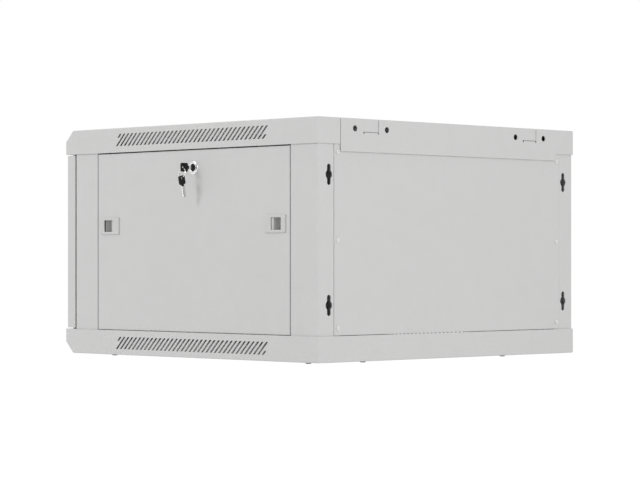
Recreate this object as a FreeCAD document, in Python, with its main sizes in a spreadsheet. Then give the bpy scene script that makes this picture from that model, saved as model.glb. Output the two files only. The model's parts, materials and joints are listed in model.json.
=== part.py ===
import FreeCAD, Part
import math
import os
import Sketcher

# Wall mount network cabinet, 19 inch, six units high. Front faces -Y, the wall is the plane y = 0,
# +Z is up, and the origin is the middle of the four wall keyholes. All sizes are millimetres.

os.makedirs("parts", exist_ok=True)
Vector = FreeCAD.Vector
doc = FreeCAD.newDocument("WallCabinet")
sheet = doc.addObject("Spreadsheet::Sheet", "Sizes")
cells = []
nodes = []


class Size:
    """A length that remembers how it is worked out from the sheet's cells."""

    def __init__(self, number, text=None):
        self.number = float(number)
        self.text = text or repr(float(number))
        self.bound = text is not None

    def joined(self, sign, other, number):
        other = as_size(other)
        text = "(" + self.text + " " + sign + " " + other.text + ")"
        return Size(number, text if self.bound or other.bound else None)

    def __add__(self, other):
        return self.joined("+", other, self.number + float(other))

    def __sub__(self, other):
        return self.joined("-", other, self.number - float(other))

    def __mul__(self, other):
        return self.joined("*", other, self.number * float(other))

    def __truediv__(self, other):
        return self.joined("/", other, self.number / float(other))

    def __radd__(self, other):
        return as_size(other) + self

    def __rsub__(self, other):
        return as_size(other) - self

    def __rmul__(self, other):
        return as_size(other) * self

    def __neg__(self):
        return as_size(0) - self

    def __float__(self):
        return self.number


def as_size(item):
    return item if isinstance(item, Size) else Size(item)


def root(item):
    return Size(math.sqrt(float(item)), "sqrt(" + item.text + ")")


def whole(item):
    return Size(math.floor(float(item)), "floor(" + item.text + ")")


def cell(name, number):
    row = len(cells) + 1
    cells.append(name)
    sheet.set("A" + str(row), name)
    sheet.set("B" + str(row), str(number))
    sheet.setAlias("B" + str(row), name)
    return Size(number, "Sizes." + name)


# Driving sizes
# Whole cabinet
width = cell("width", 600)
depth = cell("depth", 600)
height = cell("height", 370)
rack_units = cell("rack_units", 6)
rack_unit = cell("rack_unit", 44.45)
# Top and bottom covers: trays with a sloping nose
cover_skirt = cell("cover_skirt", 40)
cover_wall = cell("cover_wall", 1.5)
cover_nose = cell("cover_nose", 20)
cover_bend = cell("cover_bend", 2)
cover_proud = cell("cover_proud", 2)
front_inset = cell("front_inset", 25.4)
# Slanted vents in the covers' side skirts
vent_tall = cell("vent_tall", 20)
vent_slot = cell("vent_slot", 3.4)
vent_pitch = cell("vent_pitch", 9.9)
vent_drop = cell("vent_drop", 9.6)
vent_front = cell("vent_front", 142)
vent_back = cell("vent_back", 121)
vent_stub = cell("vent_stub", 6.5)
# Corner posts
post_wall = cell("post_wall", 1.5)
post_bend = cell("post_bend", 1.8)
front_post_side = cell("front_post_side", 55.7)
front_post_face = cell("front_post_face", 24)
front_post_lip = cell("front_post_lip", 12)
rear_post_side = cell("rear_post_side", 59.4)
rear_post_face = cell("rear_post_face", 33)
rear_post_landing = cell("rear_post_landing", 13)
landing_inset = cell("landing_inset", 14)
landing_width = cell("landing_width", 15)
gusset_reach = cell("gusset_reach", 45)
gusset_wall = cell("gusset_wall", 2)
strike_notch = cell("strike_notch", 44)
# Keyholes for the wall screws
keyhole_inset = cell("keyhole_inset", 25)
keyhole_spacing = cell("keyhole_spacing", 197)
keyhole_long = cell("keyhole_long", 32)
keyhole_slot = cell("keyhole_slot", 7.8)
keyhole_eye = cell("keyhole_eye", 14)
# Rear beams
hanger_inset = cell("hanger_inset", 48)
hanger_tall = cell("hanger_tall", 51)
hanger_proud = cell("hanger_proud", 0.8)
hanger_gap = cell("hanger_gap", 0.5)
ear_wide = cell("ear_wide", 12)
ear_gap = cell("ear_gap", 0.5)
ear_rise = cell("ear_rise", 6)
beam_wall = cell("beam_wall", 1.5)
beam_flange = cell("beam_flange", 52)
hook_inset = cell("hook_inset", 113.5)
hook_wide = cell("hook_wide", 33)
hook_tall = cell("hook_tall", 20)
hook_slit = cell("hook_slit", 0.8)
hook_gap = cell("hook_gap", 0.4)
hook_relief = cell("hook_relief", 2.5)
hanger_hole = cell("hanger_hole", 9.5)
hanger_hole_spacing = cell("hanger_hole_spacing", 70)
hanger_hole_drop = cell("hanger_hole_drop", 15.6)
# Panels
panel_wall = cell("panel_wall", 1.2)
panel_bend = cell("panel_bend", 1.5)
panel_gap = cell("panel_gap", 1.6)
panel_foot_gap = cell("panel_foot_gap", 0.3)
panel_head_gap = cell("panel_head_gap", 1.6)
seat_gap = cell("seat_gap", 0.3)
tab_wide = cell("tab_wide", 20)
tab_inset = cell("tab_inset", 30)
tab_play = cell("tab_play", 2)
tab_reach = cell("tab_reach", 9)
rear_screw_inset = cell("rear_screw_inset", 12)
rear_panel_proud = cell("rear_panel_proud", 0.5)
rear_panel_gap = cell("rear_panel_gap", 0.8)
rear_foot_gap = cell("rear_foot_gap", 0.8)
rear_panel_lap = cell("rear_panel_lap", 5)
# Depth rails and rack rails
depth_rail_drop = cell("depth_rail_drop", 22.5)
rail_shelf_inset = cell("rail_shelf_inset", 2.55)
rail_bolt_inset = cell("rail_bolt_inset", 7.5)
rail_end_gap = cell("rail_end_gap", 2.5)
ear_margin = cell("ear_margin", 5)
rail_slot_long = cell("rail_slot_long", 46)
rail_slot_pitch = cell("rail_slot_pitch", 52)
rail_slot_margin = cell("rail_slot_margin", 3.5)
rack_hole_spacing = cell("rack_hole_spacing", 465.1)
rack_hole = cell("rack_hole", 9.5)
rack_rail_wall = cell("rack_rail_wall", 2)
rack_hole_edge = cell("rack_hole_edge", 6.5)
rack_rail_face = cell("rack_rail_face", 21)
rack_rail_web = cell("rack_rail_web", 40)
rack_rail_front = cell("rack_rail_front", 46)
rack_rail_back = cell("rack_rail_back", 148)
# Door
door_thick = cell("door_thick", 20)
door_gap = cell("door_gap", 2)
door_inset = cell("door_inset", 2.4)
door_wall = cell("door_wall", 1.2)
door_lip = cell("door_lip", 11)
door_stile = cell("door_stile", 60)
door_rail = cell("door_rail", 38)
glass_wall = cell("glass_wall", 4)
glass_lap = cell("glass_lap", 9)
seal_wall = cell("seal_wall", 1)
hinge_inset = cell("hinge_inset", 10)
hinge_pin = cell("hinge_pin", 6)
hinge_pin_long = cell("hinge_pin_long", 36)
# Quick-release latches of the side panels
latch_wide = cell("latch_wide", 46)
latch_tall = cell("latch_tall", 27.5)
latch_proud = cell("latch_proud", 2)
latch_margin = cell("latch_margin", 8.2)
latch_rise = cell("latch_rise", 25.2)
window_wide = cell("window_wide", 22.3)
window_tall = cell("window_tall", 19)
window_shift = cell("window_shift", 2.6)
slide_gap = cell("slide_gap", 0.3)
bezel_corner = cell("bezel_corner", 1.5)
latch_box_inset = cell("latch_box_inset", 6.5)
latch_box_drop = cell("latch_box_drop", 1.8)
latch_wall = cell("latch_wall", 1.5)
latch_floor = cell("latch_floor", 1.2)
bolt_play = cell("bolt_play", 0.5)
bolt_wall = cell("bolt_wall", 3)
slider_gap = cell("slider_gap", 1.3)
slider_lip = cell("slider_lip", 0.5)
finger_sink = cell("finger_sink", 11.2)
cup_shift = cell("cup_shift", 5)
slider_tail = cell("slider_tail", 6)
tail_step = cell("tail_step", 2)
neck_edge = cell("neck_edge", 4)
# Cylinder locks and keys
lock_drop = cell("lock_drop", 47)
lock_shift = cell("lock_shift", 8.4)
bezel_wide = cell("bezel_wide", 22)
bezel_proud = cell("bezel_proud", 2)
lock_barrel = cell("lock_barrel", 16)
plug_wide = cell("plug_wide", 12)
turn_gap = cell("turn_gap", 0.05)
plug_proud = cell("plug_proud", 0.4)
keyway_gap = cell("keyway_gap", 0.2)
keyway_deep = cell("keyway_deep", 16)
bezel_ease = cell("bezel_ease", 1.5)
nut_lap = cell("nut_lap", 5)
nut_wall = cell("nut_wall", 3.5)
cam_chop = cell("cam_chop", 3)
cam_lap = cell("cam_lap", 1.5)
cam_wide = cell("cam_wide", 12)
cam_wall = cell("cam_wall", 2)
cam_gap = cell("cam_gap", 1)
cam_reach = cell("cam_reach", 52)
door_cam_reach = cell("door_cam_reach", 20)
door_lock_inset = cell("door_lock_inset", 36)
bow_tall = cell("bow_tall", 14)
bow_long = cell("bow_long", 14.2)
bow_neck = cell("bow_neck", 4)
neck_wall = cell("neck_wall", 0.6)
bow_wall = cell("bow_wall", 2.6)
bow_hole = cell("bow_hole", 5)
bow_edge = cell("bow_edge", 1.6)
bow_chop = cell("bow_chop", 2)
blade_wall = cell("blade_wall", 1.9)
blade_tall = cell("blade_tall", 7.2)
blade_long = cell("blade_long", 20)
blade_point = cell("blade_point", 3)
blade_shoulder = cell("blade_shoulder", 1)
cut_start = cell("cut_start", 5)
cut_pitch = cell("cut_pitch", 4)
cut_high = cell("cut_high", 0.4)
cut_deep = cell("cut_deep", 1.8)
cup_long = cell("cup_long", 18)
key_stand_off = cell("key_stand_off", 12.4)
key_depth = cell("key_depth", 13)
ring_wide = cell("ring_wide", 16)
ring_play = cell("ring_play", 0.25)
ring_wire = cell("ring_wire", 1.5)
# Fasteners
cover_screw = cell("cover_screw", 5)
cover_head = cell("cover_head", 9.5)
cover_head_tall = cell("cover_head_tall", 3.5)
top_head_tall = cell("top_head_tall", 1.4)
cover_screw_long = cell("cover_screw_long", 12)
screw_fit = cell("screw_fit", 0.1)
cover_screw_inset = cell("cover_screw_inset", 40)
front_screw_inset = cell("front_screw_inset", 80)
rear_screw_depth = cell("rear_screw_depth", 62)
beam_screw_inset = cell("beam_screw_inset", 136)
beam_screw_depth = cell("beam_screw_depth", 40)
panel_screw = cell("panel_screw", 4)
panel_head = cell("panel_head", 7.4)
panel_head_tall = cell("panel_head_tall", 2)
panel_screw_long = cell("panel_screw_long", 8)
rail_bolt = cell("rail_bolt", 6)
rail_head = cell("rail_head", 11)
rail_head_tall = cell("rail_head_tall", 3.3)
rail_bolt_long = cell("rail_bolt_long", 12)
rail_nut = cell("rail_nut", 10)
rail_nut_tall = cell("rail_nut_tall", 5)
# Openings in the covers
fan_hole_spacing = cell("fan_hole_spacing", 105)
fan_screw_hole = cell("fan_screw_hole", 4.5)
fan_grille = cell("fan_grille", 112)
fan_slot = cell("fan_slot", 5)
fan_slot_pitch = cell("fan_slot_pitch", 11)
fan_offset = cell("fan_offset", 90)
fan_depth = cell("fan_depth", 300)
entry_wide = cell("entry_wide", 220)
entry_long = cell("entry_long", 70)
entry_depth = cell("entry_depth", 115)
entry_lap = cell("entry_lap", 12)
doc.recompute()

# Places that several pieces share
side = width / 2 - cover_proud
cover_back = -hanger_proud
skirt_back = cover_back - cover_wall
back = cover_back - cover_proud
front = front_inset - depth
crown = height / 2
roof = crown - cover_wall
skirt_edge = crown - cover_skirt
front_post_edge = front + front_post_side
rear_post_edge = back - rear_post_side
landing = side - landing_inset
landing_back = landing - post_wall
panel_front = front_post_edge + panel_gap
panel_back = rear_post_edge - panel_gap
panel_top = skirt_edge - panel_head_gap
panel_bottom = panel_foot_gap - skirt_edge
panel_middle = (panel_front + panel_back) / 2
seat = landing + seat_gap
door_back = door_inset + door_thick - depth
door_front = door_back - door_thick
door_top = skirt_edge - door_gap
hinge_x = width / 2 - hinge_inset
hinge_y = door_back - door_thick / 2 - 1
corner_x = width / 2 - cover_screw_inset
front_screw_y = front_screw_inset - depth
hanger_half = width / 2 - hanger_inset
hook_offset = width / 2 - hook_inset
rail_shelf = crown - depth_rail_drop
lock_y = panel_middle + lock_shift
lock_rise = rail_shelf - lock_drop


# Modelling helpers
PLANES = {"X": ("YZ_Plane", 1), "Y": ("XZ_Plane", -1), "Z": ("XY_Plane", 1)}


def bind(item, name, size):
    size = as_size(size)
    if size.bound:
        item.setExpression(name, size.text)
    else:
        setattr(item, name, size.number)


def new_body(label):
    body = doc.addObject("PartDesign::Body", "Body_" + label)
    body.Label = label
    return body


def origin_part(body, role):
    return [item for item in body.Origin.OriginFeatures if item.Role == role][0]


def constrain(sketch, constraints, sizes):
    """Add constraints, then bind those that follow from the sheet."""
    first = sketch.ConstraintCount
    sketch.addConstraint(constraints)
    for index, size in sizes:
        if size.bound:
            sketch.setExpression("Constraints[" + str(first + index) + "]", size.text)


def polygon(points):
    def draw(sketch):
        corners = [(as_size(x), as_size(y)) for x, y in points]
        count = len(corners)
        start = sketch.GeometryCount
        lines = []
        for i in range(count):
            (x0, y0), (x1, y1) = corners[i], corners[(i + 1) % count]
            begin = Vector(float(x0), float(y0), 0)
            end = Vector(float(x1), float(y1), 0)
            lines.append(Part.LineSegment(begin, end))
        sketch.addGeometry(lines, False)
        rules = []
        sizes = []
        for i in range(count):
            rules.append(Sketcher.Constraint("Coincident", start + i, 2, start + (i + 1) % count, 1))
        for i, (x, y) in enumerate(corners):
            sizes.append((len(rules), x))
            rules.append(Sketcher.Constraint("DistanceX", -1, 1, start + i, 1, float(x)))
            sizes.append((len(rules), y))
            rules.append(Sketcher.Constraint("DistanceY", -1, 1, start + i, 1, float(y)))
        constrain(sketch, rules, sizes)
    return draw


def box(x0, x1, y0, y1):
    return polygon([(x0, y0), (x1, y0), (x1, y1), (x0, y1)])


def circle(x, y, radius):
    def draw(sketch):
        place = [as_size(x), as_size(y), as_size(radius)]
        start = sketch.GeometryCount
        centre = Vector(float(x), float(y), 0)
        sketch.addGeometry(Part.Circle(centre, Vector(0, 0, 1), float(radius)), False)
        rules = [
            Sketcher.Constraint("DistanceX", -1, 1, start, 3, float(x)),
            Sketcher.Constraint("DistanceY", -1, 1, start, 3, float(y)),
            Sketcher.Constraint("Radius", start, float(radius)),
        ]
        constrain(sketch, rules, list(enumerate(place)))
    return draw


def hexagon(x, y, across):
    """A nut's outline, with two corners along the first axis."""
    reach = across / math.sqrt(3)
    corners = []
    for i in range(6):
        turn = math.radians(60 * i)
        corners.append((x + reach * round(math.cos(turn), 6), y + reach * round(math.sin(turn), 6)))
    return polygon(corners)


def strip(path, wall, hand=1):
    """Outline of a bent sheet: the path is one face, and the sheet lies on its left (1) or right (-1)."""
    normals = []
    for (x0, y0), (x1, y1) in zip(path, path[1:]):
        run = float(x1) - float(x0)
        rise = float(y1) - float(y0)
        length = math.hypot(run, rise)
        normals.append((round(-rise / length * hand), round(run / length * hand)))
    inner = []
    for i, (x, y) in enumerate(path):
        near = {normals[max(i - 1, 0)], normals[min(i, len(normals) - 1)]}
        inner.append((x + sum(n[0] for n in near) * wall, y + sum(n[1] for n in near) * wall))
    return path + inner[::-1]


def new_sketch(body, name, axis, place):
    role, sign = PLANES[axis]
    sketch = body.newObject("Sketcher::SketchObject", body.Label + "_" + name + "_sketch")
    sketch.AttachmentSupport = [(origin_part(body, role), "")]
    sketch.MapMode = "FlatFace"
    offset = as_size(place) * sign
    sketch.AttachmentOffset = FreeCAD.Placement(Vector(0, 0, float(offset)), FreeCAD.Rotation())
    if offset.bound:
        sketch.setExpression("AttachmentOffset.Base.z", offset.text)
    return sketch


def extrude(body, kind, name, axis, low, high, shapes):
    """A pad or pocket between two places on an axis."""
    low, high = as_size(low), as_size(high)
    starts_low = (kind == "Pad") == (PLANES[axis][1] > 0)
    sketch = new_sketch(body, name, axis, low if starts_low else high)
    for draw in shapes:
        draw(sketch)
    item = body.newObject("PartDesign::" + kind, body.Label + "_" + name)
    item.Profile = sketch
    bind(item, "Length", high - low)
    return item


def pad(body, name, axis, low, high, *shapes):
    return extrude(body, "Pad", name, axis, low, high, shapes)


def pocket(body, name, axis, low, high, *shapes):
    return extrude(body, "Pocket", name, axis, low, high, shapes)


def repeat(body, item, name, role, pitch, count):
    """A row of copies of one feature along an axis of the body."""
    pattern = body.newObject("PartDesign::LinearPattern", body.Label + "_" + name)
    pattern.Originals = [item]
    pattern.Direction = (origin_part(body, role), [""])
    bind(pattern, "Length", pitch * (count - 1))
    bind(pattern, "Occurrences", count)
    body.Tip = pattern
    return pattern


def revolve(body, name, axis, points, place=0):
    """A turned solid about an origin axis, from a half profile of (along, radius) points."""
    role = {"X": "XZ_Plane", "Y": "YZ_Plane", "Z": "XZ_Plane"}[axis]
    sketch = body.newObject("Sketcher::SketchObject", body.Label + "_" + name + "_sketch")
    sketch.AttachmentSupport = [(origin_part(body, role), "")]
    sketch.MapMode = "FlatFace"
    outline = [(r, a) for a, r in points] if axis == "Z" else [(a, r) for a, r in points]
    polygon(outline)(sketch)
    item = body.newObject("PartDesign::Revolution", body.Label + "_" + name)
    item.Profile = sketch
    item.ReferenceAxis = (sketch, ["V_Axis" if axis == "Z" else "H_Axis"])
    item.Angle = 360
    return item


def edges_along(shape, axis, places):
    """Names of the straight edges along an axis that pass through the given places."""
    names = []
    for number, edge in enumerate(shape.Edges, 1):
        begin, end = edge.Vertexes[0].Point, edge.Vertexes[-1].Point
        run = end - begin
        if run.Length < 1e-6 or abs(getattr(run, axis.lower())) < run.Length * 0.9999:
            continue
        across = [getattr(begin, name) for name in "xyz" if name != axis.lower()]
        for place in places:
            if math.hypot(across[0] - float(place[0]), across[1] - float(place[1])) < 0.01:
                names.append("Edge" + str(number))
    return names


def round_off(body, name, radius, picks):
    """A fillet on the edges picked as (axis, places across that axis)."""
    doc.recompute()
    base = body.Tip
    names = []
    for axis, places in picks:
        names += edges_along(base.Shape, axis, places)
    fillet = body.newObject("PartDesign::Fillet", body.Label + "_" + name)
    fillet.Base = (base, names)
    bind(fillet, "Radius", radius)
    return fillet


def place_at(item, x=0, y=0, z=0, turn=None):
    axis, angle = turn or ((0, 0, 1), 0)
    spot = Vector(float(x), float(y), float(z))
    item.Placement = FreeCAD.Placement(spot, FreeCAD.Rotation(Vector(*axis), angle))
    for name, size in (("x", x), ("y", y), ("z", z)):
        if as_size(size).bound:
            item.setExpression("Placement.Base." + name, size.text)


def keep(item, label=None):
    if label:
        item.Label = label
    nodes.append(item)
    return item


def mirrored(source, label, normal=(1, 0, 0)):
    item = doc.addObject("Part::Mirroring", "Mirror_" + label)
    item.Source = source
    item.Normal = Vector(*normal)
    return keep(item, label)


def group(source, label, places):
    """Separate copies of one small piece; each place is (x, y, z, turn)."""
    links = []
    for number, (x, y, z, turn) in enumerate(places):
        link = doc.addObject("App::Link", label + "_copy" + str(number))
        link.LinkedObject = source
        place_at(link, x, y, z, turn)
        links.append(link)
    item = doc.addObject("Part::Compound", "Group_" + label)
    item.Links = links
    return keep(item, label)


HALF_TURN = ((0, 1, 0), 180)
HEAD_BACK = ((1, 0, 0), -90)


# Covers
def vent(centre, lean, low, high):
    """One slanted slot between two heights above the row's middle, which it crosses at centre."""
    half = vent_slot * math.sqrt(2) / 2
    middle = crown - vent_drop - vent_tall / 2
    foot = centre + low * lean
    head = centre + high * lean
    return polygon([(foot - half, middle + low), (foot + half, middle + low),
                    (head + half, middle + high), (head - half, middle + high)])


def cut_vents(body, hand):
    """Vents punched in one blank lean opposite ways once the two skirts are folded down."""
    name = "right" if hand > 0 else "left"
    low = (width / 2 - cover_wall - 1) if hand > 0 else -(width / 2 + 1)
    high = (width / 2 + 1) if hand > 0 else -(width / 2 - cover_wall - 1)
    count = whole((depth - vent_front - vent_back) / vent_pitch) + 1
    first = vent_front - depth
    half = vent_tall / 2
    slot = pocket(body, "vent_" + name, "X", low, high, vent(first, hand, -half, half))
    repeat(body, slot, "vents_" + name, "Y_Axis", vent_pitch, count)
    stub_head = vent(first - vent_pitch, hand, half - vent_stub, half)
    stub_foot = vent(first + vent_pitch * count, hand, -half, vent_stub - half)
    if hand < 0:
        stub_head = vent(first + vent_pitch * count, hand, half - vent_stub, half)
        stub_foot = vent(first - vent_pitch, hand, -half, vent_stub - half)
    pocket(body, "vent_stubs_" + name, "X", low, high, stub_head, stub_foot)


def cover_screw_places():
    places = []
    for hand in (-1, 1):
        places.append((corner_x * hand, front_screw_y))
        places.append((corner_x * hand, -rear_screw_depth))
        places.append(((width / 2 - beam_screw_inset) * hand, -beam_screw_depth))
    return places


def fan_slots(x, y):
    """Straight slots inside a round grille, each as long as its chord."""
    count = int(float(fan_grille) / 2 / float(fan_slot_pitch))
    shapes = []
    for i in range(-count, count + 1):
        across = fan_slot_pitch * i
        reach = root(fan_grille * fan_grille / 4 - across * across)
        shapes.append(box(x - reach, x + reach, y + across - fan_slot / 2, y + across + fan_slot / 2))
    return shapes


def build_cover(label, is_top):
    """Drawn as the top cover; the bottom one is turned over about the depth axis."""
    body = new_body(label)
    nose = depth - cover_nose
    outer = [(cover_back, skirt_edge), (cover_back, crown), (-nose, crown)]
    outer += [(-depth, crown - cover_nose), (-depth, skirt_edge)]
    pad(body, "block", "X", -width / 2, width / 2, polygon(outer))
    sides = [(-width / 2, crown), (width / 2, crown)]
    corners = [(-width / 2, cover_back), (width / 2, cover_back), (-width / 2, -depth), (width / 2, -depth)]
    round_off(body, "bends", cover_bend, [("Y", sides), ("X", [(cover_back, crown)]), ("Z", corners)])
    ease = (math.sqrt(2) - 1) * cover_wall
    inner = [(skirt_back, skirt_edge), (skirt_back, roof), (ease - nose, roof)]
    inner += [(cover_wall - depth, crown - cover_nose - ease), (cover_wall - depth, skirt_edge + cover_wall)]
    inner += [(front, skirt_edge + cover_wall), (front, skirt_edge)]
    pocket(body, "inside", "X", cover_wall - width / 2, width / 2 - cover_wall, polygon(inner))
    for hand in (1, -1):
        cut_vents(body, hand)
    holes = [circle(x, y, cover_screw / 2 + screw_fit) for x, y in cover_screw_places()]
    pocket(body, "screw_holes", "Z", roof - 1, crown + 1, *holes)
    pins = [circle(hinge_x * hand, hinge_y, hinge_pin / 2 + 0.1) for hand in (-1, 1)]
    pocket(body, "hinge_holes", "Z", skirt_edge - 1, skirt_edge + cover_wall + 1, *pins)
    entry = box(-entry_wide / 2, entry_wide / 2,
                -entry_depth - entry_long / 2, -entry_depth + entry_long / 2)
    pocket(body, "cable_entry", "Z", roof - 1, crown + 1, entry)
    if is_top:
        hook_in = hook_offset - hook_wide / 2
        hook_out = hook_offset + hook_wide / 2
        hook_end = crown - hook_tall
        hook = [(hook_out, roof), (hook_out, hook_end), (hook_in, hook_end), (hook_in, roof)]
        right = [(hanger_half + hanger_gap, skirt_edge), (hanger_half + hanger_gap, roof)] + hook
        left = [(-x, z) for x, z in reversed(hook)]
        left += [(-hanger_half - hanger_gap, roof), (-hanger_half - hanger_gap, skirt_edge)]
        pocket(body, "hanger_notch", "Y", skirt_back - 1, 1, polygon(right + left))
        shapes = []
        for hand in (-1, 1):
            shapes += fan_slots(fan_offset * hand, -fan_depth)
            for i in (-1, 1):
                for j in (-1, 1):
                    x = fan_offset * hand + fan_hole_spacing * i / 2
                    shapes.append(circle(x, fan_hole_spacing * j / 2 - fan_depth, fan_screw_hole / 2))
        pocket(body, "fan_grilles", "Z", roof - 1, crown + 1, *shapes)
    else:
        place_at(body, 0, 0, 0, HALF_TURN)
    return keep(body)


build_cover("top_cover", True)
build_cover("bottom_cover", False)


# Corner posts
def gusset(body, name, back_edge, front_edge):
    """Plates at both ends of a post, with the cover screw's hole."""
    hole_y = -rear_screw_depth if name == "rear" else front_screw_y
    for hand in (-1, 1):
        low = roof - gusset_wall if hand > 0 else -roof
        high = roof if hand > 0 else gusset_wall - roof
        plate = box(side - gusset_reach, landing, front_edge, back_edge)
        pad(body, "gusset" + str(hand + 1), "Z", low, high, plate)
        hole = circle(corner_x, hole_y, cover_screw / 2 + screw_fit / 2)
        pocket(body, "gusset_hole" + str(hand + 1), "Z", low - 1, high + 1, hole)


front_post = new_body("front_post_right")
face_edge = side - front_post_face
landing_front_end = front_post_edge + landing_width
path = [(face_edge, front + front_post_lip), (face_edge, front), (side, front), (side, front_post_edge)]
path += [(landing, front_post_edge), (landing, landing_front_end)]
pad(front_post, "sheet", "Z", -roof, roof, polygon(strip(path, post_wall)))
round_off(front_post, "bends", post_bend, [("Z", path[1:4])])
gusset(front_post, "front", landing_front_end - 3, front + post_wall)
notch = box(front + post_wall, front + front_post_lip + 1, -strike_notch / 2, strike_notch / 2)
pocket(front_post, "strike_notch", "X", face_edge - 1, face_edge + post_wall + 1, notch)
keep(front_post)
mirrored(front_post, "front_post_left")

rear_post = new_body("rear_post_right")
landing_rear_end = rear_post_edge - landing_width
rear_face_edge = side - rear_post_face
panel_face = back + rear_panel_proud
panel_seat = panel_face - panel_wall
path = [(landing, landing_rear_end), (landing, rear_post_edge), (side, rear_post_edge), (side, back)]
path += [(rear_face_edge, back), (rear_face_edge, panel_seat)]
path += [(rear_face_edge - rear_post_landing, panel_seat)]
pad(rear_post, "sheet", "Z", -roof, roof, polygon(strip(path, post_wall)))
round_off(rear_post, "bends", post_bend, [("Z", path[2:4])])
gusset(rear_post, "rear", panel_seat - post_wall, landing_rear_end + 3)
keyhole_x = width / 2 - keyhole_inset
throat = (keyhole_long - keyhole_slot) / 2
for hand in (-1, 1):
    z = keyhole_spacing * hand / 2
    rounds = [circle(keyhole_x, z, keyhole_eye / 2)]
    rounds += [circle(keyhole_x, z + throat * end, keyhole_slot / 2) for end in (-1, 1)]
    pocket(rear_post, "keyhole_rounds" + str(hand + 1), "Y", back - post_wall - 1, back + 1, *rounds)
    slot = box(keyhole_x - keyhole_slot / 2, keyhole_x + keyhole_slot / 2, z - throat, z + throat)
    pocket(rear_post, "keyhole_slot" + str(hand + 1), "Y", back - post_wall - 1, back + 1, slot)
rear_screw_x = rear_face_edge - rear_post_landing / 2 - 1.5
rear_screw_heights = [(skirt_edge - rear_screw_inset) * step for step in (-1, 0, 1)]
holes = [circle(rear_screw_x, z, panel_screw / 2 + screw_fit / 2) for z in rear_screw_heights]
pocket(rear_post, "panel_holes", "Y", panel_seat - post_wall - 1, panel_seat + 1, *holes)
keep(rear_post)
mirrored(rear_post, "rear_post_left")

# Rear beams
hanger = new_body("hanger_beam")
beam_back = -beam_wall
path = [(0, crown - hanger_tall), (0, roof), (-beam_flange, roof)]
pad(hanger, "sheet", "X", -hanger_half, hanger_half, polygon(strip(path, beam_wall)))
ear_top = roof - beam_wall - 1
ear_foot = skirt_edge + ear_rise
for hand in (-1, 1):
    inner_x = hanger_half - ear_wide
    step_ends = sorted([inner_x * hand, hanger_half * hand], key=float)
    ear_ends = sorted([inner_x * hand, (rear_face_edge - ear_gap) * hand], key=float)
    pad(hanger, "step" + str(hand + 1), "Y", panel_seat, beam_back,
        box(step_ends[0], step_ends[1], ear_foot, ear_top))
    pad(hanger, "ear" + str(hand + 1), "Y", panel_seat, skirt_back,
        box(ear_ends[0], ear_ends[1], ear_foot, ear_top))
notches = []
holes = []
for hand in (-1, 1):
    x = hook_offset * hand
    low_x, high_x = x - hook_wide / 2 - hook_gap, x + hook_wide / 2 + hook_gap
    foot = crown - hook_tall - hook_slit
    notches.append(polygon([(low_x, foot - hook_relief), (low_x + hook_relief, foot - hook_relief),
                            (low_x + hook_relief, foot), (high_x - hook_relief, foot),
                            (high_x - hook_relief, foot - hook_relief), (high_x, foot - hook_relief),
                            (high_x, roof), (low_x, roof)]))
    for step in (-1, 1):
        x_hole = x + hanger_hole_spacing * step / 2
        holes.append(circle(x_hole, crown - hanger_hole_drop, hanger_hole / 2))
pocket(hanger, "hook_slots", "Y", beam_back - 1, 1, *notches)
pocket(hanger, "hanger_holes", "Y", beam_back - 1, 1, *holes)
beam_x = width / 2 - beam_screw_inset
screw_holes = [circle(beam_x * hand, -beam_screw_depth, cover_screw / 2 + screw_fit / 2) for hand in (-1, 1)]
pocket(hanger, "screw_holes", "Z", roof - beam_wall - 1, roof + 1, *screw_holes)
keep(hanger)

lower_beam = new_body("rear_bottom_beam")
path = [(panel_seat, -skirt_edge - 1), (panel_seat, -roof), (-beam_flange, -roof)]
beam_half = rear_face_edge - rear_post_landing
pad(lower_beam, "sheet", "X", -beam_half, beam_half, polygon(strip(path, beam_wall, -1)))
pocket(lower_beam, "screw_holes", "Z", -roof - 1, -roof + beam_wall + 1, *screw_holes)
keep(lower_beam)

# Depth rails: angles that carry the rack rails on their slotted shelves
rail_top = rail_shelf + post_wall
rail_inner = rack_hole_spacing / 2 - rail_shelf_inset
rail_front = front_post_edge + rail_end_gap
rail_back = rear_post_edge - rail_end_gap
bolt_x = rail_inner + rail_bolt_inset
slot_first = rail_front + rail_slot_long / 2 + rail_slot_margin
slot_count = whole((rail_back - rail_front - rail_slot_long - 2 * rail_slot_margin) / rail_slot_pitch) + 1
cam_side = landing_back - post_wall - cam_gap
tab_places = (panel_front + tab_inset, panel_back - tab_inset)


def tab_ears(body):
    """Lugs that rise from the lower rail, each with the slot for one of the side panel's tabs."""
    half = tab_wide / 2 + tab_play
    top = panel_bottom + panel_wall + tab_play
    for number, y in enumerate(tab_places, 1):
        lug = box(y - half - ear_margin, y + half + ear_margin, -rail_top, top + ear_margin)
        pad(body, "ear" + str(number), "X", landing_back - post_wall, landing_back, lug)
    slots = [box(y - half, y + half, panel_bottom - tab_play, top) for y in tab_places]
    pocket(body, "tab_slots", "X", landing_back - post_wall - 1, landing_back + 1, *slots)


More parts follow.
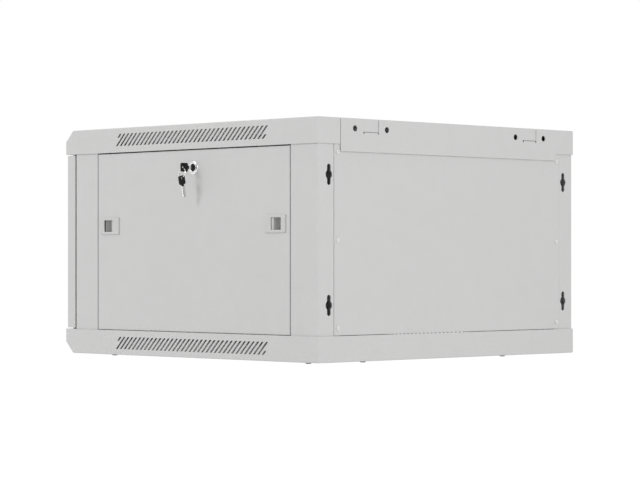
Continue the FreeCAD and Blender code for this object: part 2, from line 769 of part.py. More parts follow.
def depth_rail(label, hand):
    body = new_body(label)
    path = [(landing_back, (roof - gusset_wall) * hand), (landing_back, rail_shelf * hand)]
    path.append((rail_inner, rail_shelf * hand))
    pad(body, "sheet", "Y", rail_front, rail_back, polygon(strip(path, post_wall, -hand)))
    half = rail_bolt / 2 + 0.5
    slot = box(bolt_x - half, bolt_x + half,
               slot_first - rail_slot_long / 2, slot_first + rail_slot_long / 2)
    low, high = sorted([(rail_shelf - 1) * hand, (rail_top + 1) * hand], key=float)
    cut = pocket(body, "slot", "Z", low, high, slot)
    repeat(body, cut, "slots", "Y_Axis", rail_slot_pitch, slot_count)
    if hand > 0:
        swing = root(cam_reach * cam_reach - lock_drop * lock_drop) + cam_wide / 2
        catch = box(cam_side - cam_wall - 1, landing_back - post_wall, lock_y - cam_wide, lock_y + swing)
        pocket(body, "cam_catch", "Z", low, high, catch)
    else:
        tab_ears(body)
    keep(body)
    return body


upper_rail = depth_rail("upper_depth_rail_right", 1)
lower_rail = depth_rail("lower_depth_rail_right", -1)
mirrored(upper_rail, "upper_depth_rail_left")
mirrored(lower_rail, "lower_depth_rail_left")

# Rack rails with square holes
rack_front_y = front + rack_rail_front
rack_back_y = -rack_rail_back
rack_edge = rack_hole_spacing / 2 - rack_hole_edge


def rack_rail(label, face_y, hand):
    """hand is 1 where the web runs back from the face, and -1 where it runs forward."""
    body = new_body(label)
    outer_x = rack_edge + rack_rail_face
    path = [(rack_edge, face_y), (outer_x, face_y), (outer_x, face_y + rack_rail_web * hand)]
    pad(body, "sheet", "Z", -rail_shelf, rail_shelf, polygon(strip(path, rack_rail_wall, hand)))
    depths = sorted([face_y, face_y + rack_rail_web * hand], key=float)
    for end in (-1, 1):
        low = rail_shelf - rack_rail_wall if end > 0 else -rail_shelf
        foot = box(rack_edge, outer_x, depths[0], depths[1])
        pad(body, "foot" + str(end + 1), "Z", low, low + rack_rail_wall, foot)
        hole = circle(bolt_x, face_y + rack_rail_web * hand / 2, rail_bolt / 2 + 0.3)
        pocket(body, "foot_hole" + str(end + 1), "Z", low - 1, low + rack_rail_wall + 1, hole)
    base = -rack_unit * rack_units / 2
    squares = []
    for share in (1 / 7, 1 / 2, 6 / 7):
        z = base + rack_unit * share
        x = rack_hole_spacing / 2
        squares.append(box(x - rack_hole / 2, x + rack_hole / 2, z - rack_hole / 2, z + rack_hole / 2))
    walls = sorted([face_y - hand, face_y + (rack_rail_wall + 1) * hand], key=float)
    cut = pocket(body, "unit_holes", "Y", walls[0], walls[1], *squares)
    repeat(body, cut, "holes", "Z_Axis", rack_unit, rack_units)
    keep(body)
    return body


front_rack_rail = rack_rail("front_rack_rail_right", rack_front_y, 1)
rear_rack_rail = rack_rail("rear_rack_rail_right", rack_back_y, -1)
mirrored(front_rack_rail, "front_rack_rail_left")
mirrored(rear_rack_rail, "rear_rack_rail_left")


# Fasteners
def pan_screw(label, shank, head, head_tall, long):
    """A pan-head screw with its head's underside at z = 0 and its shank pointing down."""
    body = new_body(label)
    crest = [(0, head / 2), (head_tall * 0.6, head / 2), (head_tall, head * 0.34)]
    outline = [(-long, 0), (-long, shank / 2), (0, shank / 2)] + crest + [(head_tall, 0)]
    revolve(body, "turning", "Z", outline)
    return body


top_pattern = pan_screw("top_screw_pattern", cover_screw, cover_head, top_head_tall, cover_screw_long)
places = [(x, y, crown, None) for x, y in cover_screw_places()]
group(top_pattern, "top_cover_screws", places)
cover_pattern = pan_screw("cover_screw_pattern", cover_screw, cover_head, cover_head_tall, cover_screw_long)
places = [(x, y, -crown, HALF_TURN) for x, y in cover_screw_places()]
group(cover_pattern, "bottom_cover_screws", places)

panel_pattern = pan_screw("panel_screw_pattern", panel_screw, panel_head, panel_head_tall, panel_screw_long)
places = [(rear_screw_x * hand, panel_face, z, HEAD_BACK) for hand in (-1, 1) for z in rear_screw_heights]
group(panel_pattern, "rear_panel_screws", places)

bolt_pattern = pan_screw("rail_bolt_pattern", rail_bolt, rail_head, rail_head_tall, rail_bolt_long)
nut = new_body("rail_nut_pattern")
pad(nut, "hexagon", "Z", 0, rail_nut_tall, hexagon(as_size(0), as_size(0), rail_nut))
pocket(nut, "thread", "Z", -1, rail_nut_tall + 1, circle(0, 0, rail_bolt / 2 + screw_fit / 2))
bolts = []
nuts = []
for hand in (-1, 1):
    for y in (rack_front_y + rack_rail_web / 2, rack_back_y - rack_rail_web / 2):
        under = rail_shelf - rack_rail_wall
        bolts.append((bolt_x * hand, y, under, HALF_TURN))
        bolts.append((bolt_x * hand, y, -under, None))
        nuts.append((bolt_x * hand, y, rail_top, None))
        nuts.append((bolt_x * hand, y, -rail_top, HALF_TURN))
group(bolt_pattern, "rack_rail_bolts", bolts)
group(nut, "rack_rail_nuts", nuts)

# Cable entry plates on the covers' inner faces
plate_x = entry_wide / 2 + entry_lap
plate_y = entry_long / 2 + entry_lap
plate_screws = []
for hand in (-1, 1):
    for step in (-1, 1):
        across = plate_x - entry_lap / 2
        along_depth = plate_y - entry_lap / 2
        plate_screws.append((across * hand, along_depth * step - entry_depth))
cable_plate = new_body("top_cable_plate")
pad(cable_plate, "sheet", "Z", roof - panel_wall, roof,
    box(-plate_x, plate_x, -plate_y - entry_depth, plate_y - entry_depth))
pocket(cable_plate, "holes", "Z", roof - panel_wall - 1, roof + 1,
       *[circle(x, y, panel_screw / 2 + screw_fit) for x, y in plate_screws])
keep(cable_plate)
mirrored(cable_plate, "bottom_cable_plate", (0, 0, 1))

# Rear panel
rear_panel = new_body("rear_panel")
rear_panel_side = rear_face_edge - rear_panel_gap
pad(rear_panel, "sheet", "Y", panel_seat, panel_face,
    box(-rear_panel_side, rear_panel_side, rear_foot_gap - skirt_edge, skirt_edge + rear_panel_lap))
holes = []
for hand in (-1, 1):
    for z in rear_screw_heights:
        holes.append(circle(rear_screw_x * hand, z, panel_screw / 2 + screw_fit))
pocket(rear_panel, "holes", "Y", panel_seat - 1, back + 1, *holes)
keep(rear_panel)

# Side panels
latch_front_y = panel_front + latch_margin + latch_wide / 2
latch_back_y = panel_back - latch_margin - latch_wide / 2
latch_box = latch_wide / 2 - latch_box_inset
latch_box_tall = latch_tall / 2 - latch_box_drop
side_panel = new_body("side_panel_right")
pad(side_panel, "block", "X", seat, side, box(panel_front, panel_back, panel_bottom, panel_top))
round_off(side_panel, "bends", panel_bend, [
    ("Y", [(side, panel_bottom), (side, panel_top)]),
    ("Z", [(side, panel_front), (side, panel_back)]),
])
pocket(side_panel, "inside", "X", seat, side - panel_wall,
       box(panel_front + panel_wall, panel_back - panel_wall,
           panel_bottom + panel_wall, panel_top - panel_wall))
tabs = []
for y in tab_places:
    tabs.append(box(y - tab_wide / 2, y + tab_wide / 2, panel_bottom, panel_bottom + panel_wall))
pad(side_panel, "tabs", "X", seat - tab_reach, seat, *tabs)
openings = [circle(lock_y, lock_rise, lock_barrel / 2 + screw_fit)]
for y in (latch_front_y, latch_back_y):
    low, high = latch_rise - latch_box_tall, latch_rise + latch_box_tall
    openings.append(box(y - latch_box, y + latch_box, low, high))
pocket(side_panel, "openings", "X", side - panel_wall - 1, side + 1, *openings)
keep(side_panel)
mirrored(side_panel, "side_panel_left")


# Quick-release latches
# Depths are counted from the panel's outer face; the bolt passes behind the posts' landing flange.
bolt_outer = landing_back - bolt_play
bolt_inner = bolt_outer - bolt_wall
housing_back = bolt_inner - latch_wall
slider_back = landing + slider_gap
finger_depth = side - finger_sink
window_in = window_wide / 2 - window_shift
window_out = window_wide / 2 + window_shift


def along(centre, hand, near, far, low, high):
    """A box in the YZ plane: near and far are counted outward, towards the post."""
    ends = sorted([centre - near * hand, centre - far * hand], key=float)
    return box(ends[0], ends[1], low, high)


def latch_housing(label, centre, hand):
    body = new_body(label)
    half = latch_tall / 2
    low, high = latch_rise - half, latch_rise + half
    pad(body, "bezel", "X", side, side + latch_proud,
        box(centre - latch_wide / 2, centre + latch_wide / 2, low, high))
    edges = [centre - latch_wide / 2, centre + latch_wide / 2]
    face = side + latch_proud
    round_off(body, "bezel_corners", bezel_corner, [("X", [(y, z) for y in edges for z in (low, high)])])
    box_low, box_high = latch_rise - latch_box_tall, latch_rise + latch_box_tall
    pad(body, "box", "X", housing_back, side, along(centre, hand, -latch_box, latch_box, box_low, box_high))
    pocket(body, "channel", "X", housing_back + latch_floor, side + slider_lip,
           along(centre, hand, latch_wall - latch_box, latch_box + 1, box_low + latch_wall, box_high - latch_wall))
    half = window_tall / 2
    pocket(body, "window", "X", side, face + 1,
           along(centre, hand, -window_in, window_out, latch_rise - half, latch_rise + half))
    return keep(body)


def latch_slider(label, centre, hand):
    """A deep finger cup, a neck, and the bolt."""
    body = new_body(label)
    top = side + slider_lip - slide_gap
    ramp_top = side - panel_wall - slide_gap
    cup_wall = -window_in + cup_shift
    tail = cup_wall - slider_tail
    nose = cup_wall + cup_long
    bolt_tip = latch_box - bolt_play
    bolt_start = tail + tail_step
    outline = [(tail, top), (cup_wall, top), (cup_wall, finger_depth), (nose - latch_wall, finger_depth)]
    outline += [(nose - latch_wall, ramp_top), (nose, ramp_top), (nose, slider_back), (neck_edge, slider_back)]
    outline += [(neck_edge, bolt_outer), (bolt_tip, bolt_outer), (bolt_tip, bolt_inner), (bolt_start, bolt_inner)]
    outline += [(bolt_start, slider_back), (tail, slider_back)]
    points = [(x, centre - a * hand) for a, x in outline]
    half = latch_box_tall - latch_wall - slide_gap
    pad(body, "section", "Z", latch_rise - half, latch_rise + half, polygon(points))
    return keep(body)


for place, centre, hand in (("front", latch_front_y, 1), ("rear", latch_back_y, -1)):
    housing = latch_housing("right_" + place + "_latch_housing", centre, hand)
    mirrored(housing, "left_" + place + "_latch_housing")
    slider = latch_slider("right_" + place + "_latch_slider", centre, hand)
    mirrored(slider, "left_" + place + "_latch_slider")


# Cylinder locks
def lock_barrel_body(label, long):
    """Turned about X: the bezel's back face is at x = 0 and the barrel runs to -long."""
    body = new_body(label)
    bore = plug_wide / 2 + turn_gap
    outline = [(-long, bore), (-long, lock_barrel / 2), (0, lock_barrel / 2), (0, bezel_wide / 2)]
    outline += [(bezel_proud / 2, bezel_wide / 2), (bezel_proud, bezel_wide / 2 - bezel_ease)]
    outline += [(bezel_proud, bore)]
    revolve(body, "turning", "X", outline)
    return body


def lock_plug(label, long):
    """Turned plug with an upright keyway; its tail carries the cam."""
    body = new_body(label)
    tail = cam_wide / 2 - cam_lap
    end = -long - cam_wall - cam_lap
    face = bezel_proud + plug_proud
    outline = [(end, 0), (end, tail), (-long, tail), (-long, plug_wide / 2), (face, plug_wide / 2), (face, 0)]
    revolve(body, "turning", "X", outline)
    half_wall = blade_wall / 2 + keyway_gap
    half_tall = blade_tall / 2 + keyway_gap
    pocket(body, "keyway", "X", bezel_proud - keyway_deep, bezel_proud + 1,
           box(-half_wall, half_wall, -half_tall, half_tall))
    return body


def lock_nut(label, wall):
    body = new_body(label)
    across = lock_barrel + nut_lap
    pad(body, "hexagon", "X", -wall - nut_wall, -wall, hexagon(as_size(0), as_size(0), across))
    pocket(body, "thread", "X", -wall - nut_wall - 1, -wall + 1, circle(0, 0, lock_barrel / 2 + screw_fit / 2))
    return body


def lock_cam(label, long, reach):
    """A flat finger on the plug's tail, pointing to +Y at rest."""
    body = new_body(label)
    half = cam_wide / 2
    blade = polygon([(-half, -half), (reach - cam_chop, -half), (reach, cam_chop - half),
                     (reach, half - cam_chop), (reach - cam_chop, half), (-half, half)])
    pad(body, "blade", "X", -long - cam_wall, -long, blade)
    pocket(body, "eye", "X", -long - cam_wall - 1, -long + 1, circle(0, 0, half - cam_lap))
    return body


def lock_set(prefix, long, wall, reach, x, y, z, turn=None):
    for name, make in (("barrel", lambda label: lock_barrel_body(label, long)),
                       ("plug", lambda label: lock_plug(label, long)),
                       ("nut", lambda label: lock_nut(label, wall)),
                       ("cam", lambda label: lock_cam(label, long, reach))):
        body = make(prefix + "_" + name)
        place_at(body, x, y, z, turn)
        keep(body)


side_lock_long = side - cam_side
lock_set("right_lock", side_lock_long, panel_wall, cam_reach, side, lock_y, lock_rise)
for name in ("barrel", "plug", "nut", "cam"):
    source = [item for item in nodes if item.Label == "right_lock_" + name][0]
    mirrored(source, "left_lock_" + name)

# Key in the right side lock, ring and spare key
ring_lean = 10
spare_lean = 12
bow_start = side + key_stand_off
ring_x = bow_start + bow_long - bow_hole / 2 - bow_edge


def key_bow(label, long, hole_at):
    """A flat moulded head from x = 0 with a neck behind it, and its thickness along Y."""
    body = new_body(label)
    half = bow_tall / 2
    chop = bow_chop
    neck = blade_tall / 2 + neck_wall
    outline = [(0, -half + chop), (chop, -half), (long - chop, -half), (long, -half + chop)]
    outline += [(long, half - chop), (long - chop, half), (chop, half), (0, half - chop)]
    outline += [(0, neck), (-bow_neck, neck), (-bow_neck, -neck), (0, -neck)]
    pad(body, "head", "Y", -bow_wall / 2, bow_wall / 2, polygon(outline))
    pocket(body, "eye", "Y", -bow_wall / 2 - 1, bow_wall / 2 + 1, circle(hole_at, 0, bow_hole / 2))
    return body


def key_blade(label, long):
    """A flat blade from the neck to x = -long with bitting along one edge."""
    body = new_body(label)
    half = blade_tall / 2
    outline = [(-bow_neck, -half), (-bow_neck, half), (-long, half), (-long, 0)]
    outline += [(-long + blade_point, -half + blade_shoulder)]
    for step in range(3):
        start = -long + cut_start + cut_pitch * step
        middle = start + cut_pitch / 4
        end = start + cut_pitch / 2
        outline += [(start, -half + cut_high), (middle, -half + cut_deep), (end, -half + cut_high)]
    pad(body, "blade", "Y", -blade_wall / 2, blade_wall / 2, polygon(outline))
    return body


blade = key_blade("key_blade", key_stand_off + key_depth)
place_at(blade, bow_start, lock_y, lock_rise)
keep(blade)
bow = key_bow("key_bow", bow_long, ring_x - bow_start)
place_at(bow, bow_start, lock_y, lock_rise)
keep(bow)

wire = ring_wire / 2
ring_radius = ring_wide / 2 - wire
ring_rest = lock_rise - bow_hole / 2 + wire + ring_play
ring_across = round(math.sin(math.radians(ring_lean)), 6)
ring_down = round(math.cos(math.radians(ring_lean)), 6)
ring = new_body("key_ring")
section = []
for step in range(8):
    turn = math.radians(22.5 + 45 * step)
    section.append((wire * round(math.cos(turn), 6), ring_radius + wire * round(math.sin(turn), 6)))
revolve(ring, "wire", "X", section)
place_at(ring, ring_x + ring_radius * ring_across, lock_y, ring_rest - ring_radius * ring_down,
         ((0, 1, 0), -ring_lean))
keep(ring)

spare_reach = bow_long - bow_hole / 2 - bow_edge
spare_across = round(math.sin(math.radians(spare_lean)), 6)
spare_down = round(math.cos(math.radians(spare_lean)), 6)
spare_hole = ring_rest - 2 * ring_radius * ring_down - bow_hole / 2 + wire + ring_play
spare_x = ring_x + 2 * ring_radius * ring_across - spare_reach * spare_across
spare_z = spare_hole - spare_reach * spare_down
spare_turn = ((0, 1, 0), spare_lean - 90)
spare_bow = key_bow("spare_key_bow", bow_long, spare_reach)
place_at(spare_bow, spare_x, lock_y, spare_z, spare_turn)
keep(spare_bow)
spare_blade = key_blade("spare_key_blade", blade_long)
place_at(spare_blade, spare_x, lock_y, spare_z, spare_turn)
keep(spare_blade)

# Door
door_side = side
window_x = door_side - door_stile
window_z = door_top - door_rail
door = new_body("door_frame")
pad(door, "block", "Y", door_front, door_back, box(-door_side, door_side, -door_top, door_top))
round_off(door, "bends", panel_bend, [
    ("X", [(door_front, -door_top), (door_front, door_top)]),
    ("Z", [(-door_side, door_front), (door_side, door_front)]),
])
lip_x, lip_z = door_side - door_lip, door_top - door_lip
inner_x, inner_z = door_side - door_wall, door_top - door_wall
pocket(door, "mouth", "Y", door_back - door_wall, door_back, box(-lip_x, lip_x, -lip_z, lip_z))
pocket(door, "inside", "Y", door_front + door_wall, door_back - door_wall,
       box(-inner_x, inner_x, -inner_z, inner_z))
pocket(door, "window", "Y", door_front - 1, door_front + door_wall + 1,
       box(-window_x, window_x, -window_z, window_z))
door_lock_x = door_lock_inset - width / 2
pocket(door, "lock_hole", "Y", door_front - 1, door_front + door_wall + 1,
       circle(door_lock_x, 0, lock_barrel / 2 + screw_fit))
bracket_z = door_top - hinge_pin_long * 0.6
for hand in (-1, 1):
    low = bracket_z if hand > 0 else -bracket_z - 2
    pad(door, "hinge_bracket" + str(hand + 1), "Z", low, low + 2,
        box(door_side - 18, inner_x, door_front + door_wall, door_back - door_wall))
pocket(door, "pin_holes", "Z", -door_top - 1, door_top + 1, circle(hinge_x, hinge_y, hinge_pin / 2 + turn_gap))
keep(door)

glass = new_body("door_glass")
glass_x, glass_z = window_x + glass_lap, window_z + glass_lap
glass_front = door_front + door_wall + seal_wall
pad(glass, "pane", "Y", glass_front, glass_front + glass_wall, box(-glass_x, glass_x, -glass_z, glass_z))
keep(glass)

seal = new_body("door_glass_seal")
grip = 5
pad(seal, "ring", "Y", glass_front - seal_wall, glass_front + glass_wall + seal_wall,
    box(-glass_x - seal_wall, glass_x + seal_wall, -glass_z - seal_wall, glass_z + seal_wall),
    box(grip - glass_x, glass_x - grip, grip - glass_z, glass_z - grip))
pocket(seal, "groove", "Y", glass_front, glass_front + glass_wall, box(-glass_x, glass_x, -glass_z, glass_z))
keep(seal)

# The door lock points to -Y, and its cam points up at rest
door_cam_y = front + post_wall + 3
door_lock_long = door_cam_y - door_front
DOOR_LOCK_TURN = FreeCAD.Rotation(Vector(0, 0, 1), -90).multiply(FreeCAD.Rotation(Vector(1, 0, 0), 90))
door_turn = ((DOOR_LOCK_TURN.Axis.x, DOOR_LOCK_TURN.Axis.y, DOOR_LOCK_TURN.Axis.z),
             math.degrees(DOOR_LOCK_TURN.Angle))
lock_set("door_lock", door_lock_long, door_wall, door_cam_reach, door_lock_x, door_front, 0, door_turn)

pin = new_body("top_hinge_pin")
pin_top = skirt_edge + cover_wall + 3
pin_foot = pin_top - hinge_pin_long
collar = bracket_z + 2 + seat_gap
pin_outline = [(pin_foot, 0), (pin_foot, hinge_pin / 2)]
pin_outline += [(collar, hinge_pin / 2), (collar, hinge_pin / 2 + 1.5)]
pin_outline += [(collar + 1.5, hinge_pin / 2 + 1.5), (collar + 1.5, hinge_pin / 2)]
pin_outline += [(pin_top - 1, hinge_pin / 2), (pin_top, hinge_pin / 2 - 1), (pin_top, 0)]
revolve(pin, "turning", "Z", pin_outline)
place_at(pin, hinge_x, hinge_y, 0)
keep(pin)
mirrored(pin, "bottom_hinge_pin", (0, 0, 1))

# Write each piece
doc.recompute()
failed = []
for item in doc.Objects:
    if "Invalid" in item.State or "Error" in item.State:
        failed.append(item.Label)
for item in nodes:
    shape = item.Shape
    if shape.isNull() or not shape.isValid() or not shape.Solids:
        failed.append(item.Label)
if failed:
    raise RuntimeError("failed pieces: " + ", ".join(failed))
for item in nodes:
    item.Shape.exportStep("parts/" + item.Label + ".step")
print(len(nodes), "pieces written")
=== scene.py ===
import json
import math
import bpy
from mathutils import Matrix, Vector


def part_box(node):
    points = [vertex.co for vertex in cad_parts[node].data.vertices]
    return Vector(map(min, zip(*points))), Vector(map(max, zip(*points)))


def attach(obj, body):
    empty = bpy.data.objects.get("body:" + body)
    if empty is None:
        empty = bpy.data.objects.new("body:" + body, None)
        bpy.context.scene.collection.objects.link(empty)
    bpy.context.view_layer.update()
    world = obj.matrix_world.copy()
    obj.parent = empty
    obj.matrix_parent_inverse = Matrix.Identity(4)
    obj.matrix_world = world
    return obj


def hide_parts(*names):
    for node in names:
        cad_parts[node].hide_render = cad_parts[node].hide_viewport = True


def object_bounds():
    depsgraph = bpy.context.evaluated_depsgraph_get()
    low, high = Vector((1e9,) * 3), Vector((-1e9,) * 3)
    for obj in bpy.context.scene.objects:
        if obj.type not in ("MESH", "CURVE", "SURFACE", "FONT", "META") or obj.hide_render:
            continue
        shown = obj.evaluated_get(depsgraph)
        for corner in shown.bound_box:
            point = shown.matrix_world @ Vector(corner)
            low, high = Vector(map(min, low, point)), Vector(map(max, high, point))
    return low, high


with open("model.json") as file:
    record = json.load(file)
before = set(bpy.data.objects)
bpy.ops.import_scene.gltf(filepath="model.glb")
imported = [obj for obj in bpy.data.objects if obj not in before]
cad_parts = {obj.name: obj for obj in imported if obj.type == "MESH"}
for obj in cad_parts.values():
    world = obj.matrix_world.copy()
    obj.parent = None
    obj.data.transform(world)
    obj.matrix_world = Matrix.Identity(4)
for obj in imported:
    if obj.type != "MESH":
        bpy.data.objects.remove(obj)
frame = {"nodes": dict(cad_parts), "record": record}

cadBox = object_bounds()
nodes = frame["nodes"]


# shader helpers
def addNode(tree, kind, place, **settings):
    node = tree.nodes.new(kind)
    node.location = place
    for name, value in settings.items():
        setattr(node, name, value)
    return node


def feed(tree, item, socket):
    # a number or colour is set, an output is linked
    if isinstance(item, bpy.types.NodeSocket):
        tree.links.new(item, socket)
    else:
        socket.default_value = item


def newGroup(name, inputs, outputs):
    group = bpy.data.node_groups.new(name, "ShaderNodeTree")
    for label, value in inputs:
        kind = "NodeSocketColor" if isinstance(value, tuple) else "NodeSocketFloat"
        group.interface.new_socket(name=label, in_out="INPUT", socket_type=kind).default_value = value
    for label, kind in outputs:
        group.interface.new_socket(name=label, in_out="OUTPUT", socket_type=kind)
    start = addNode(group, "NodeGroupInput", (-1100, 0))
    end = addNode(group, "NodeGroupOutput", (700, 0))
    return group, start.outputs, end.inputs


def mathNode(tree, operation, place, first, second):
    node = addNode(tree, "ShaderNodeMath", place, operation=operation)
    feed(tree, first, node.inputs[0])
    feed(tree, second, node.inputs[1])
    return node.outputs[0]


def remap(tree, place, value, low, high, start=0.0, end=1.0):
    node = addNode(tree, "ShaderNodeMapRange", place)
    feed(tree, value, node.inputs["Value"])
    feed(tree, start, node.inputs["From Min"])
    feed(tree, end, node.inputs["From Max"])
    feed(tree, low, node.inputs["To Min"])
    feed(tree, high, node.inputs["To Max"])
    return node.outputs["Result"]


def noise(tree, place, coordinates, scale, detail=2.0, rough=0.5):
    node = addNode(tree, "ShaderNodeTexNoise", place)
    feed(tree, coordinates, node.inputs["Vector"])
    feed(tree, scale, node.inputs["Scale"])
    node.inputs["Detail"].default_value = detail
    node.inputs["Roughness"].default_value = rough
    return node.outputs["Fac"]


def mixColour(tree, place, blend, factor, first, second):
    node = addNode(tree, "ShaderNodeMix", place, data_type="RGBA", blend_type=blend)
    feed(tree, factor, node.inputs[0])
    feed(tree, first, node.inputs[6])
    feed(tree, second, node.inputs[7])
    return node.outputs[2]


# effects that several finishes share
def makeSprayedGrain():
    # fine bumps of a sprayed or moulded skin, with slow drifts of tone and gloss
    group, given, out = newGroup(
        "sprayedGrain",
        [("Colour", (0.6, 0.6, 0.6, 1)), ("Grain per metre", 900.0), ("Tone drift", 0.03),
         ("Roughness", 0.5), ("Roughness drift", 0.06)],
        [("Colour", "NodeSocketColor"), ("Roughness", "NodeSocketFloat"), ("Height", "NodeSocketFloat")])
    place = addNode(group, "ShaderNodeTexCoord", (-1100, -300)).outputs["Object"]
    fine = noise(group, (-800, 200), place, given["Grain per metre"], 2.0, 0.55)
    peelScale = mathNode(group, "MULTIPLY", (-950, -50), given["Grain per metre"], 0.31)
    peel = noise(group, (-800, 0), place, peelScale, 1.0, 0.4)
    slow = noise(group, (-800, -250), place, 5.5, 3.0, 0.6)
    cloud = noise(group, (-800, -450), place, 38.0, 2.0, 0.5)
    darkest = mathNode(group, "SUBTRACT", (-400, -150), 1.0, given["Tone drift"])
    drift = mathNode(group, "ADD", (-600, -350), slow, cloud)
    tone = remap(group, (-200, -150), drift, darkest, 1.0, 0.7, 1.3)
    speck = remap(group, (-400, 300), fine, 0.985, 1.012, 0.3, 0.7)
    tint = mathNode(group, "MULTIPLY", (0, 0), tone, speck)
    feed(group, mixColour(group, (300, 150), "MULTIPLY", 1.0, given["Colour"], tint), out["Colour"])
    dull = mathNode(group, "ADD", (-200, -450), given["Roughness"], given["Roughness drift"])
    sheen = mathNode(group, "SUBTRACT", (-200, -650), given["Roughness"], given["Roughness drift"])
    feed(group, remap(group, (100, -450), cloud, sheen, dull, 0.3, 0.7), out["Roughness"])
    feed(group, mathNode(group, "ADD", (0, 350), fine, peel), out["Height"])
    return group


def makeHandMarks():
    # smears and faint dust left by handling
    group, given, out = newGroup(
        "handMarks",
        [("Smear per metre", 30.0), ("Strength", 0.2)],
        [("Mask", "NodeSocketFloat")])
    place = addNode(group, "ShaderNodeTexCoord", (-1100, -300)).outputs["Object"]
    turned = addNode(group, "ShaderNodeMapping", (-900, -300))
    turned.inputs["Rotation"].default_value = (0.4, 0.7, 0.3)
    turned.inputs["Scale"].default_value = (1.0, 1.0, 0.35)
    feed(group, place, turned.inputs["Vector"])
    broad = noise(group, (-600, 0), turned.outputs["Vector"], given["Smear per metre"], 4.0, 0.65)
    dustScale = mathNode(group, "MULTIPLY", (-800, 0), given["Smear per metre"], 24.0)
    dust = noise(group, (-600, -250), place, dustScale, 1.0, 0.5)
    smear = remap(group, (-300, 0), broad, 0.0, 1.0, 0.48, 0.72)
    flecks = remap(group, (-300, -250), dust, 0.0, 0.6, 0.62, 0.75)
    both = mathNode(group, "MAXIMUM", (0, 0), smear, flecks)
    feed(group, mathNode(group, "MULTIPLY", (200, 0), both, given["Strength"]), out["Mask"])
    return group


def makeDrawnLines():
    # hair-fine lines that rolling, drawing or brushing leaves on bare or plated metal
    group, given, out = newGroup(
        "drawnLines",
        [("Colour", (0.6, 0.6, 0.6, 1)), ("Lines per metre", 1500.0), ("Patch per metre", 160.0),
         ("Contrast", 0.12)],
        [("Colour", "NodeSocketColor"), ("Height", "NodeSocketFloat")])
    place = addNode(group, "ShaderNodeTexCoord", (-1100, -300)).outputs["Object"]
    stretched = addNode(group, "ShaderNodeMapping", (-900, -300))
    stretched.inputs["Scale"].default_value = (1.0, 0.04, 1.0)
    feed(group, place, stretched.inputs["Vector"])
    lines = noise(group, (-600, 0), stretched.outputs["Vector"], given["Lines per metre"], 2.0, 0.6)
    cells = addNode(group, "ShaderNodeTexVoronoi", (-600, -300))
    feed(group, place, cells.inputs["Vector"])
    feed(group, given["Patch per metre"], cells.inputs["Scale"])
    patch = addNode(group, "ShaderNodeSeparateColor", (-400, -300))
    feed(group, cells.outputs["Color"], patch.inputs[0])
    darkest = mathNode(group, "SUBTRACT", (-400, 200), 1.0, given["Contrast"])
    lineTone = remap(group, (-200, 100), lines, darkest, 1.0, 0.3, 0.7)
    patchTone = remap(group, (-200, -300), patch.outputs[0], darkest, 1.0)
    tone = mathNode(group, "MULTIPLY", (0, 0), lineTone, patchTone)
    feed(group, mixColour(group, (300, 200), "MULTIPLY", 1.0, given["Colour"], tone), out["Colour"])
    feed(group, lines, out["Height"])
    return group


sprayedGrain = makeSprayedGrain()
handMarks = makeHandMarks()
drawnLines = makeDrawnLines()


def placeGroup(tree, group, place, **values):
    node = addNode(tree, "ShaderNodeGroup", place)
    node.node_tree = group
    for label, value in values.items():
        node.inputs[label.replace("_", " ")].default_value = value
    return node.outputs


def newMaterial(name):
    material = bpy.data.materials.new(name)
    material.use_nodes = True
    tree = material.node_tree
    surface = tree.nodes["Principled BSDF"]
    surface.location = (500, 0)
    return material, tree, surface


def addBump(tree, surface, height, strength, distance):
    bump = addNode(tree, "ShaderNodeBump", (250, -300))
    bump.inputs["Strength"].default_value = strength
    bump.inputs["Distance"].default_value = distance
    feed(tree, height, bump.inputs["Height"])
    feed(tree, bump.outputs["Normal"], surface.inputs["Normal"])


def placeMarks(tree, look):
    return placeGroup(tree, handMarks, (-300, -350), Smear_per_metre=look["smears"], Strength=look["marks"])


def paintedFinish(name, look):
    material, tree, surface = newMaterial(name)
    grain = placeGroup(tree, sprayedGrain, (-300, 0), Colour=look["colour"], Grain_per_metre=look["grain"],
                       Tone_drift=look["drift"], Roughness=look["roughness"],
                       Roughness_drift=look["glossDrift"])
    feed(tree, grain["Colour"], surface.inputs["Base Color"])
    if look["marks"]:
        marks = placeMarks(tree, look)
        rough = mathNode(tree, "SUBTRACT", (100, -150), grain["Roughness"], marks["Mask"])
        feed(tree, rough, surface.inputs["Roughness"])
    else:
        feed(tree, grain["Roughness"], surface.inputs["Roughness"])
    surface.inputs["Specular IOR Level"].default_value = look["specular"]
    surface.inputs["Coat Weight"].default_value = look["coat"]
    surface.inputs["Coat Roughness"].default_value = look["coatRoughness"]
    addBump(tree, surface, grain["Height"], look["bump"], look["bumpDepth"])
    return material


def metalFinish(name, look):
    material, tree, surface = newMaterial(name)
    lines = placeGroup(tree, drawnLines, (-300, 0), Colour=look["colour"], Lines_per_metre=look["lines"],
                       Patch_per_metre=look["patches"], Contrast=look["contrast"])
    marks = placeMarks(tree, look)
    feed(tree, lines["Colour"], surface.inputs["Base Color"])
    surface.inputs["Metallic"].default_value = 1.0
    rough = mathNode(tree, "ADD", (100, -150), marks["Mask"], look["roughness"])
    feed(tree, rough, surface.inputs["Roughness"])
    addBump(tree, surface, lines["Height"], look["bump"], look["bumpDepth"])
    return material


def glassFinish(name, look):
    material, tree, surface = newMaterial(name)
    marks = placeMarks(tree, look)
    tint = mixColour(tree, (0, 150), "MIX", marks["Mask"], look["colour"], look["dusty"])
    feed(tree, tint, surface.inputs["Base Color"])
    rough = mathNode(tree, "ADD", (100, -150), marks["Mask"], look["roughness"])
    feed(tree, rough, surface.inputs["Roughness"])
    surface.inputs["Transmission Weight"].default_value = 1.0
    surface.inputs["IOR"].default_value = look["ior"]
    return material


